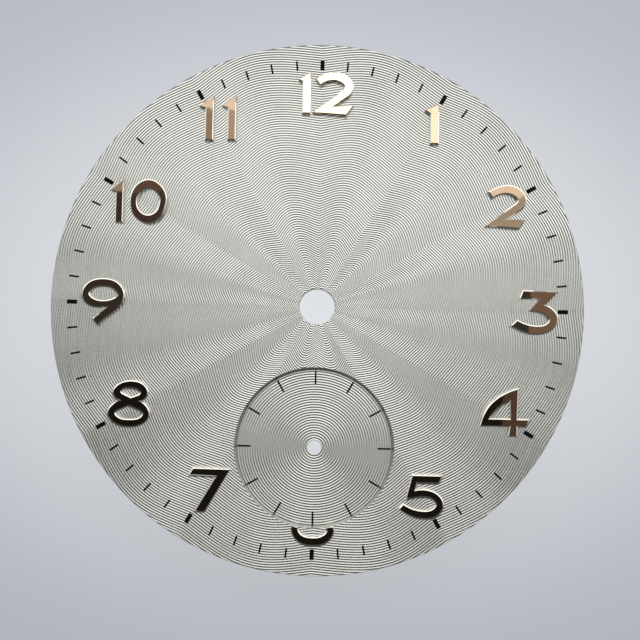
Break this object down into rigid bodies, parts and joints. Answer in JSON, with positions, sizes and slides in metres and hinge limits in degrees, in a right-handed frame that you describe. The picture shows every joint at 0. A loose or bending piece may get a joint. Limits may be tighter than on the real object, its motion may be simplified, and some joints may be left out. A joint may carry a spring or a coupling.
{
  "type": "watch dial",
  "caption": "Round watch dial with engraved waves, applied arabic hour numerals, a printed minute track, a sunk small-seconds disc and two feet on the back.",
  "frame": {"origin": "on the axis of the centre hole, in the plane of the plate's back face", "axes": "+Z out of the dial's face along the hands' axis, +Y towards 12 o'clock, +X towards 3 o'clock"},
  "size_m": [0.03, 0.03, 0.0023],
  "materials": {
    "silvered_plate": "silvered brass, engraved with fine waves, satin",
    "silvered_disc": "silvered brass, turned in fine rings, satin",
    "numeral_gold": "rose gold plated, polished",
    "ink": "black printing ink, thin",
    "foot_copper": "bare copper wire"
  },
  "bodies": {
    "root": {"dial_plate": "silvered_plate", "seconds_disc": "silvered_disc", "numeral_12_one": "numeral_gold", "numeral_12_two": "numeral_gold", "numeral_1": "numeral_gold", "numeral_2": "numeral_gold", "numeral_3": "numeral_gold", "numeral_4": "numeral_gold", "numeral_5": "numeral_gold", "numeral_6": "numeral_gold", "numeral_7": "numeral_gold", "numeral_8": "numeral_gold", "numeral_9": "numeral_gold", "numeral_10_one": "numeral_gold", "numeral_10_zero": "numeral_gold", "numeral_11_left": "numeral_gold", "numeral_11_right": "numeral_gold", "hour_marks": "ink", "minute_marks": "ink", "seconds_marks": "ink", "dial_foot_a": "foot_copper", "dial_foot_b": "foot_copper"}
  },
  "joints": []
}
